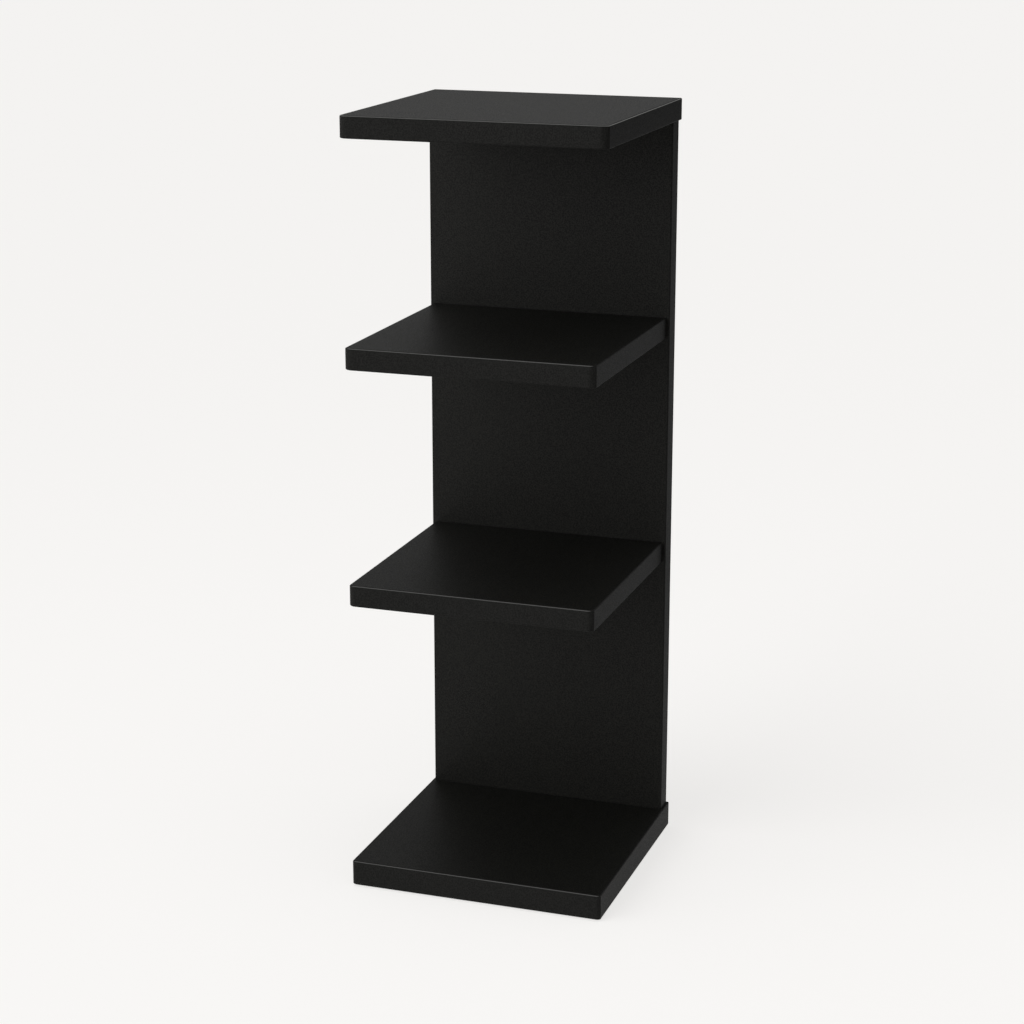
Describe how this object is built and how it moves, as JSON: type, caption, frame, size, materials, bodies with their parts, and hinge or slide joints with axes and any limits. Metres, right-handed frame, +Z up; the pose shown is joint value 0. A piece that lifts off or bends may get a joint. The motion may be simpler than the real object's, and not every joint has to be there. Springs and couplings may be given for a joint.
{
  "type": "spine bookshelf",
  "caption": "Narrow free-standing bookcase: a top slab, shelves and a base slab stand out from the front of one upright back panel, open at the front and both sides.",
  "frame": {"origin": "on the floor, under the middle of the overall box", "axes": "+X to the right of someone facing the shelves, +Y to the back, +Z up"},
  "size_m": [0.304, 0.307, 0.9],
  "materials": {
    "black_melamine": "satin",
    "black_edging": "satin",
    "black_plastic": "matte",
    "zinc_plated_steel": "satin",
    "die_cast_zinc": "matte",
    "beech": "matte",
    "pad_rubber": "matte"
  },
  "bodies": {
    "root": {"base_band_back": "black_edging", "base_band_front": "black_edging", "base_band_left": "black_edging", "base_band_right": "black_edging", "base_board": "black_melamine", "base_dowel_left": "beech", "base_dowel_right": "beech", "base_screw_left": "zinc_plated_steel", "base_screw_middle": "zinc_plated_steel", "base_screw_right": "zinc_plated_steel", "floor_pad_back_left": "pad_rubber", "floor_pad_back_right": "pad_rubber", "floor_pad_front_left": "pad_rubber", "floor_pad_front_right": "pad_rubber", "lower_shelf_band_front": "black_edging", "lower_shelf_band_left": "black_edging", "lower_shelf_band_right": "black_edging", "lower_shelf_board": "black_melamine", "lower_shelf_dowel_left": "beech", "lower_shelf_dowel_right": "beech", "lower_shelf_screw_cap_left": "black_plastic", "lower_shelf_screw_cap_middle": "black_plastic", "lower_shelf_screw_cap_right": "black_plastic", "lower_shelf_screw_left": "zinc_plated_steel", "lower_shelf_screw_middle": "zinc_plated_steel", "lower_shelf_screw_right": "zinc_plated_steel", "spine_band_left": "black_edging", "spine_band_right": "black_edging", "spine_board": "black_melamine", "top_band_back": "black_edging", "top_band_front": "black_edging", "top_band_left": "black_edging", "top_band_right": "black_edging", "top_board": "black_melamine", "top_cam_bolt_left": "zinc_plated_steel", "top_cam_bolt_right": "zinc_plated_steel", "top_cam_cover_left": "black_plastic", "top_cam_cover_right": "black_plastic", "top_cam_lock_left": "die_cast_zinc", "top_cam_lock_right": "die_cast_zinc", "top_dowel_left": "beech", "top_dowel_right": "beech", "upper_shelf_band_front": "black_edging", "upper_shelf_band_left": "black_edging", "upper_shelf_band_right": "black_edging", "upper_shelf_board": "black_melamine", "upper_shelf_dowel_left": "beech", "upper_shelf_dowel_right": "beech", "upper_shelf_screw_cap_left": "black_plastic", "upper_shelf_screw_cap_middle": "black_plastic", "upper_shelf_screw_cap_right": "black_plastic", "upper_shelf_screw_left": "zinc_plated_steel", "upper_shelf_screw_middle": "zinc_plated_steel", "upper_shelf_screw_right": "zinc_plated_steel"}
  },
  "joints": []
}
